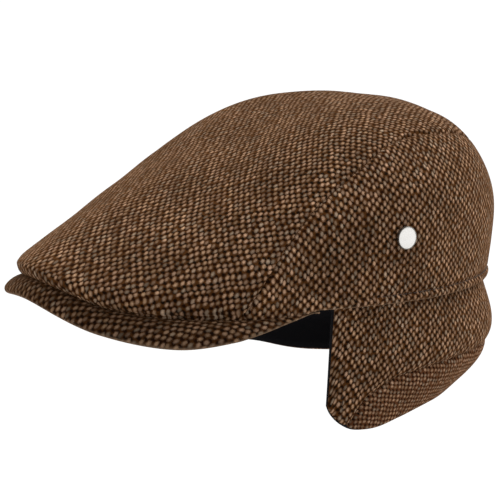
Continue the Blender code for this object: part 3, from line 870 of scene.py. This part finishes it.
def tweed(name, ground=GROUND, long_tan=0.52, short_tan=0.34, dark_size=0.36, painted_shade=1.0):
    """Woollen tweed in a plain weave of thick tan yarn over near-black yarn.

    Each tan float is a hairy, slanted oval on a square lattice with its own shade, the dark floats lie in
    the spaces between four of them, and a brown ground joins them. Each yarn is lighter and darker along
    its length. The eye sees a matt, flecked, uneven cloth. Along folds a painted highlight lightens it,
    where a rolled edge would catch the light, and a painted shade can darken the whole cloth.
    """
    sheen = {"Sheen_Weight": 0.3, "Sheen_Roughness": 0.45, "Sheen_Tint": linear("#B07A4C")}
    material, tree, shader = finish(name, Roughness=0.95, Specular_IOR_Level=0.02, **sheen)
    cut = node(tree, "ShaderNodeAttribute", attribute_name="cut").outputs["Vector"]
    cells = scaled(tree, cut, 1 / WEAVE_PITCH)
    waver = noise(tree, cells, WAVER_CHANGES, 1.0)["Color"]
    cells = vector_maths(tree, "MULTIPLY_ADD", waver, (WEAVE_WAVER, WEAVE_WAVER, 0.0), cells)[0]
    hairs = noise(tree, cells, HAIR_CHANGES, 2.0)["Fac"]

    def floats(shift, turn, size, soft):
        """Mask of the hairy ovals of one yarn, 1 in their middle, and each oval's own random colour."""
        moved = vector_maths(tree, "ADD", cells, (shift, shift, 0))[0]
        inputs = {"Vector": moved, "Scale": 1.0, "Randomness": FLOAT_STRAYS}
        spots = node(tree, "ShaderNodeTexVoronoi", inputs, voronoi_dimensions="2D").outputs
        away = vector_maths(tree, "SUBTRACT", moved, spots["Position"])[0]
        inputs = {"Vector": away, "Rotation": (0, 0, np.radians(turn)), "Scale": (*size, 1)}
        oval = node(tree, "ShaderNodeMapping", inputs, vector_type="TEXTURE").outputs[0]
        reach = vector_maths(tree, "LENGTH", oval)["Value"]
        reach = maths(tree, "MULTIPLY_ADD", hairs, HAIR_REACH, reach)
        return ranged(tree, reach, soft[1], soft[0], interpolation_type="SMOOTHSTEP"), spots["Color"]

    def yarn(changes):
        """Shade of one set of yarns: noise that changes from yarn to yarn and slowly along each."""
        along = vector_maths(tree, "MULTIPLY", cells, (*changes, 1.0))[0]
        return noise(tree, along, 1.0, 1.0)["Fac"]

    tan_mask, tan_own = floats(0.0, 135, (long_tan, short_tan), TAN_EDGE)
    dark_mask, _ = floats(0.5, 45, (dark_size * DARK_LENGTH, dark_size), DARK_EDGE)
    own = node(tree, "ShaderNodeSeparateColor", {"Color": tan_own}).outputs
    shades = node(tree, "ShaderNodeValToRGB", {"Fac": own["Red"]})
    for place, code in zip(TAN_PLACES, TANS):
        shades.color_ramp.elements.new(place).color = linear(code)
    for own_stop in (0, -1):
        shades.color_ramp.elements.remove(shades.color_ramp.elements[own_stop])
    level = ranged(tree, own["Green"], *FLOAT_SHADES)
    level = maths(tree, "MULTIPLY", level, ranged(tree, yarn(YARN_CHANGES), *YARN_SHADES))
    tan = scaled(tree, shades.outputs["Color"], level)
    dark = mixed(tree, ranged(tree, yarn(YARN_CHANGES[::-1]), *DARK_RANGE), *map(linear, DARKS))
    woven = mixed(tree, tan_mask, mixed(tree, dark_mask, linear(ground), dark), tan)
    patch = ranged(tree, noise(tree, cells, PATCH_CHANGES, 2.0)["Fac"], *PATCH_SHADES)
    tone = maths(tree, "MULTIPLY", patch, ranged(tree, hairs, *HAIR_SHADES))
    # Painted shade: the cloth's tone times this factor, which darkens the peak's copy of the tweed.
    tone = maths(tree, "MULTIPLY", tone, painted_shade)
    # Painted highlight: along folds the cloth is mixed towards a light tan, as where a rolled edge catches
    # the light.
    fold = node(tree, "ShaderNodeAttribute", attribute_name="fold").outputs["Fac"]
    fold = maths(tree, "MULTIPLY", fold, FOLD_HIGHLIGHT_SHARE)
    fold_lit = mixed(tree, fold, scaled(tree, woven, tone), linear(FOLD_HIGHLIGHT))
    tree.links.new(fold_lit, shader.inputs["Base Color"])
    height = maths(tree, "MAXIMUM", tan_mask, maths(tree, "MULTIPLY", dark_mask, DARK_HEIGHT))
    height = maths(tree, "MULTIPLY_ADD", hairs, HAIR_HEIGHT, height)
    bump = node(tree, "ShaderNodeBump", {"Height": height, "Distance": WEAVE_RELIEF, "Strength": 1.0})
    tree.links.new(bump.outputs["Normal"], shader.inputs["Normal"])
    return material


def speckled(name, grain, colours, detail=2.0, relief=0.0, **sockets):
    """Finish that wanders between two colours in specks of this size, perhaps with a slight relief.

    It gives the material, its tree, its shader and the noise of the specks.
    """
    material, tree, shader = finish(name, **sockets)
    place = node(tree, "ShaderNodeTexCoord").outputs["Object"]
    speckle = noise(tree, place, 1 / grain, detail, "3D")["Fac"]
    tree.links.new(mixed(tree, speckle, *map(linear, colours)), shader.inputs["Base Color"])
    if relief:
        bump = node(tree, "ShaderNodeBump", {"Height": speckle, "Distance": relief})
        tree.links.new(bump.outputs["Normal"], shader.inputs["Normal"])
    return material, tree, shader, speckle


def lining_cloth():
    """Black cotton lining, a fine close weave: flat, soft black with hardly a shine."""
    shine = {"Roughness": 0.85, "Specular_IOR_Level": 0.2, "Sheen_Weight": 0.03}
    return speckled("black_cotton_lining", 0.0006, ("#08070A", "#121116"), relief=0.00005, **shine)[0]


def sewing_thread():
    """Dark brown cotton thread, twisted: a fine soft line that is a little darker than the cloth."""
    shine = {"Roughness": 0.8, "Specular_IOR_Level": 0.25, "Sheen_Weight": 0.1}
    return speckled("brown_cotton_thread", 0.0004, ("#1E130D", "#3D2A1E"), **shine)[0]


def white_enamel():
    """White fired enamel, poured and polished: an even, glossy milk white with a slight unevenness."""
    shine = {"Roughness": 0.22, "Coat_Weight": 0.4, "Coat_Roughness": 0.1}
    return speckled("white_enamel", 0.003, ("#E6E3DE", "#F4F2EE"), relief=0.00004, **shine)[0]


def badge_metal():
    """Dull nickel plate on brass: a thin grey metal edge with a soft shine, duller in small patches."""
    material, tree, shader, rub = speckled("dull_nickel", 0.0015, ("#6A6660", "#8C8882"), 3.0, Metallic=1.0)
    tree.links.new(ranged(tree, rub, 0.0, 1.0, 0.28, 0.5), shader.inputs["Roughness"])
    return material


# Pieces of the cap.


def crown_pieces(cloth):
    """Top panel and two side panels, drawn in at their seams, with a rolled lower edge.

    Round the sides and the back the turned-up hem stands out as a roll below a stitched groove.
    """
    ends = [(TURN_CELLS, row) for row in TOP_LAID]
    panels = [("crown_top", top_panel, ends, TOP_TURN, COARSER_TOP)]
    ends = [(column, 0) for column in SIDE_LAID]
    for name, side in (("left", 1), ("right", -1)):
        shape = partial(side_panel, side=side)
        panels.append((f"side_panel_{name}", shape, ends, SIDE_TURN, COARSER_SIDE[::side]))
    sewn = ("start", "end", "high")
    for name, shape, ends, turn, coarser in panels:
        grid = with_cut(shape, FINER, ends, turn, coarser)
        grid = wrapped(crowd(grid, ["low"], EDGE_SPOTS), ["low"], CLOTH)
        grid = crowd(grid, sewn, SEAM_SPOTS)
        up = distance_from(grid, "low")
        roll = np.where(up < HEM_ROLL, np.sin(np.pi * np.clip(up / HEM_ROLL, 0, 1)), 0) * ROLL_RELIEF
        groove = STITCH_DEPTH * hump(up, HEM_ROLL, STITCH_SPREAD)
        hem = fade(from_front(angle_of(grid)), *HEM_FROM) * (roll - groove)
        relief = soft_waves(grid[..., :3]) + hem
        cloth_piece(name, grid, cloth, "crown_tweed", CLOTH, ["low"], sewn, relief)


def peak_piece(cloth):
    """Cloth-covered peak, a stiff board with a rounded edge."""
    middle = PEAK_CELLS[0] // 2
    ends = ((middle, 0), (middle, -1))
    grid = with_cut(peak_cover, FINER_PEAK, ends, PEAK_TURN, COARSER_PEAK)
    grid = crowd(grid, ["low", "high", "start", "end"], np.array(EDGE_SPOTS) * PEAK_SPREAD)
    thins = fade(from_front(angle_of(grid)), *PEAK_THINS)
    thickness = PEAK_THICKNESS * (1 - (1 - PEAK_TIP_SHARE) * thins)
    grid = wrapped(grid, ["low", "start", "end"], thickness)
    cloth_piece("peak", grid, cloth, "peak_tweed", thickness, ["low", "high", "start", "end"])


def flap_pieces(cloth, band_cloth, lining):
    """Turned-down flap, the band along its lower edge, and the lining inside both."""
    angle = flap_angles(FINER_FLAP)[:, None]
    seam = band_share(angle)
    middle = FLAP_COLUMNS // 2
    ends = ((middle - FLAP_LAID, 0), (middle + FLAP_LAID, 0))
    cut = with_cut(whole_flap, FINER_FLAP, ends, 0)[..., 3:]
    last = cut.shape[1] - 1

    def part(low, high, count, turn, coarser=1.0):
        """Grid with its flat cut between two shares of the way down, in this many rows of cells."""
        share = low + (high - low) * np.linspace(0, 1, count + 1)[None]
        place = (1 - share) * last
        row = np.clip(place.astype(int), 0, last - 1)
        t = (place - row)[..., None]
        column = np.arange(len(share))[:, None]
        flat = cut[column, row] * (1 - t) + cut[column, row + 1] * t
        spin = np.radians(turn)
        flat = flat @ np.array([[np.cos(spin), np.sin(spin)], [-np.sin(spin), np.cos(spin)]]) / coarser
        return np.concatenate([worn_flap(angle, share), flat], axis=-1)

    upper = part(seam, 0 * seam, UPPER_ROWS, FLAP_TURN, COARSER_FLAP)
    upper = wrapped(crowd(upper, ["start", "end"], EDGE_SPOTS), ["start", "end"], CLOTH)
    upper = crowd(crowd(upper, ["low"], SEAM_SPOTS), ["high"], EDGE_SPOTS)
    in_front = np.minimum(distance_from(upper, "start"), distance_from(upper, "end"))
    relief = soft_waves(upper[..., :3]) - FLAP_STITCH_DEPTH * hump(in_front, FLAP_STITCHES, STITCH_SPREAD)
    edges = (["start", "end", "high"], ["low"])
    cloth_piece("ear_flap", upper, cloth, "flap_tweed", CLOTH, *edges, relief, painted_highlight=False)

    wide = ((1 - seam) * (FLAP_DROP + FLAP_TUCK) > BAND_LEAST)[:, 0]
    band = part(1 + 0 * seam, seam, BAND_ROWS, BAND_TURN, COARSER_BAND)[wide]
    band = wrapped(crowd(band, ["low"], EDGE_SPOTS), ["low"], CLOTH)
    band = crowd(band, ["high"], SEAM_SPOTS)
    relief = soft_waves(band[..., :3])
    edges = (["low", "start", "end"], ["high"])
    cloth_piece("flap_band", band, band_cloth, "flap_tweed", CLOTH, *edges, relief, painted_highlight=False)

    inside = part(1 + 0 * seam, 0 * seam, LINING_ROWS, 0)
    for edge in ("start", "end", "low"):
        grid = turned(inside, edge)
        grid[:, 0, :3] += LINING_PROUD * unit(grid[:, 0, :3] - grid[:, 1, :3])
    edges = ["start", "end", "low", "high"]
    cloth_piece("flap_lining", inside, lining, "lining_cloth", LINING, edges, depth=CLOTH + GAP)


def stitch_row(name, path, normal, thread):
    """Row of short threads along a path, each a thin tube that rises out of the cloth and dips back.

    Its middle line is THREAD_RADIUS (1 - THREAD_DIVE t^4) above the path, with t from -1 to 1 along it.
    """
    steps = np.linalg.norm(np.diff(path, axis=0), axis=-1)
    run = np.concatenate([[0], np.cumsum(steps)])
    count = int(run[-1] / STITCH_PITCH)
    t = np.linspace(-1, 1, THREAD_STEPS)
    at = (np.arange(count)[:, None] + 0.5) * run[-1] / count + t * STITCH_LENGTH / 2
    centre = np.stack([np.interp(at, run, path[:, k]) for k in range(3)], axis=-1)
    up = np.stack([np.interp(at, run, normal[:, k]) for k in range(3)], axis=-1)
    centre += up * (THREAD_RADIUS * (1 - THREAD_DIVE * t**4))[None, :, None]
    side = np.cross(unit(np.gradient(centre, axis=1)), up)
    turn = np.arange(THREAD_SIDES)[:, None] * 2 * np.pi / THREAD_SIDES
    ring = np.cos(turn) * side[..., None, :] + np.sin(turn) * up[..., None, :]
    points = centre[..., None, :] + THREAD_RADIUS * ring
    index = np.arange(points.size // 3).reshape(points.shape[:-1])
    quads = quads_between(index, np.roll(index, -1, axis=2))
    mesh_piece(name, points.reshape(-1, 3), (quads, index[:, 0], index[:, -1, ::-1]), thread)


def stitches(thread):
    """Stitches over the hem, from temple to temple round the back, and behind the flap's front edges."""
    small, turn = 0.01, 0.5
    angle = np.linspace(HEM_STITCH_START, 360 - HEM_STITCH_START, HEM_SAMPLES)
    rate = np.linalg.norm(crown_face(angle, small) - crown_face(angle, 0), axis=-1) / small
    share = HEM_ROLL / rate
    path = crown_face(angle, share)
    normal = unit(np.cross(np.gradient(path, axis=0), crown_face(angle, share + small) - path))
    stitch_row("hem_stitches", path - normal * STITCH_DEPTH, normal, thread)
    for name, side in (("left", 1), ("right", -1)):
        down = np.linspace(*FLAP_STITCH_RANGE, FLAP_SAMPLES)
        angle = side * (FLAP_START + np.degrees(FLAP_STITCHES / head_radius(FLAP_START))) + 0 * down
        path = worn_flap(angle, down)
        beside = worn_flap(angle + turn, down) - path
        normal = unit(np.cross(np.gradient(path, axis=0), beside))
        stitch_row(f"flap_stitches_{name}", path - normal * FLAP_STITCH_DEPTH, normal, thread)


def turned_piece(name, profile, material, nodes=()):
    """Closed piece turned about the badge's axis, from half an outline that starts and ends on the axis."""
    step = 0.01
    here = crown_face(BADGE_ANGLE, BADGE_SHARE)
    across = unit(crown_face(BADGE_ANGLE + step, BADGE_SHARE) - here)
    normal = unit(np.cross(across, crown_face(BADGE_ANGLE, BADGE_SHARE + step) - here))
    upright = np.cross(normal, across)
    profile = np.array(profile)
    turn = np.arange(ROUND_STEPS)[:, None] * 2 * np.pi / ROUND_STEPS
    radius, height = profile[1:-1, 0], profile[1:-1, 1]
    rings = (np.cos(turn) * radius)[..., None] * across + (np.sin(turn) * radius)[..., None] * upright
    rings = here + rings + height[:, None] * normal
    poles = here + profile[[0, -1], 1][:, None] * normal
    index = np.arange(rings.size // 3).reshape(rings.shape[:2])
    ahead = np.roll(index, -1, axis=0)
    pole = index.size + 0 * index[:, 0]
    faces = (
        quads_between(index, ahead),
        np.stack([pole, index[:, 0], ahead[:, 0]], axis=-1),
        np.stack([pole + 1, ahead[:, -1], index[:, -1]], axis=-1),
    )
    mesh_piece(name, np.concatenate([rings.reshape(-1, 3), poles]), faces, material, nodes)


def badge_pieces(enamel, metal):
    """Round badge: a bare white face, slightly domed, in a thin metal setting with its post and clutch."""
    back = GAP
    face = back + BADGE_THICKNESS
    floor = back + BADGE_THICKNESS / 3
    inner = BADGE_RADIUS - BADGE_RIM
    cap = [(inner * s, face + BADGE_DOME * (1 - s * s)) for s in np.linspace(0, 1, DOME_STEPS)]
    turned_piece("badge_face", [*cap, (inner, floor), (0, floor)], enamel, ["badge"])
    clutch_top = -CLOTH - GAP - CLUTCH_PLAY
    clutch_end = clutch_top - CLUTCH_THICKNESS
    angle = np.linspace(np.pi, 0, RIM_STEPS)
    half = BADGE_RIM / 2
    rim = [(BADGE_RADIUS - half * (1 - np.cos(a)), face + half * np.sin(a)) for a in angle]
    setting = [
        (0, floor - BADGE_UNDERLAP),
        (inner, floor - BADGE_UNDERLAP),
        *rim,
        (BADGE_RADIUS, back),
        (POST_RADIUS, back),
        (POST_RADIUS, clutch_top),
        (CLUTCH_RADIUS, clutch_top),
        (CLUTCH_RADIUS, clutch_end),
        (0, clutch_end),
    ]
    turned_piece("badge_setting", setting, metal)


# Camera, light and floor.


def camera():
    """Camera at the photograph's place, looking at the middle of its frame."""
    a, e = np.radians(CAMERA_AZIMUTH), np.radians(CAMERA_ELEVATION)
    back = Vector((np.sin(a) * np.cos(e), -np.cos(a) * np.cos(e), np.sin(e)))
    data = bpy.data.cameras.new("camera")
    data.lens = CAMERA_LENS
    data.sensor_width = CAMERA_SENSOR
    made = added("camera", data)
    made.location = Vector(CAMERA_TARGET) + CAMERA_DISTANCE * back
    made.rotation_mode = "QUATERNION"
    made.rotation_quaternion = (-back).to_track_quat("-Z", "Y")
    bpy.context.scene.camera = made


def sun(name, source, power):
    """Large soft light from this direction, as even as a wide softbox."""
    data = bpy.data.lights.new(name, "SUN")
    data.angle = np.radians(LIGHT_WIDTH)
    data.energy = power
    made = added(name, data)
    made.rotation_mode = "QUATERNION"
    made.rotation_quaternion = Vector(source).to_track_quat("Z", "Y")


def stage():
    """White sky, a large soft light over the back of the cap, a weaker one overhead, and a pale floor."""
    scene = bpy.context.scene
    scene.view_settings.view_transform = "Standard"
    scene.world = bpy.data.worlds.new("studio")
    scene.world.use_nodes = True
    sky = scene.world.node_tree.nodes["Background"]
    sky.inputs["Color"].default_value = (1, 1, 1, 1)
    sky.inputs["Strength"].default_value = SKY_STRENGTH
    sun("over_the_back", *BACK_LIGHT)
    sun("overhead", *OVERHEAD_LIGHT)
    data = bpy.data.meshes.new("floor")
    half = FLOOR_SIZE / 2
    corners = [(x * half, y * half, -FLOOR_DROP) for x, y in ((-1, -1), (1, -1), (1, 1), (-1, 1))]
    data.from_pydata(corners, [], [(0, 1, 2, 3)])
    data.materials.append(finish("matt_white_paint", Base_Color=linear("#DDDDDD"), Roughness=0.9)[0])
    added("floor", data)


camera()
stage()
cap_tweed = tweed("wool_tweed")
# The peak's copy of the tweed is darker: painted shade.
peak_tweed = tweed("wool_tweed_peak_painted_shade", painted_shade=PEAK_PAINTED_SHADE)
band_tweed = tweed("wool_tweed_band", BAND_GROUND, long_tan=0.46, short_tan=0.36, dark_size=0.28)
crown_pieces(cap_tweed)
peak_piece(peak_tweed)
flap_pieces(cap_tweed, band_tweed, lining_cloth())
stitches(sewing_thread())
badge_pieces(white_enamel(), badge_metal())
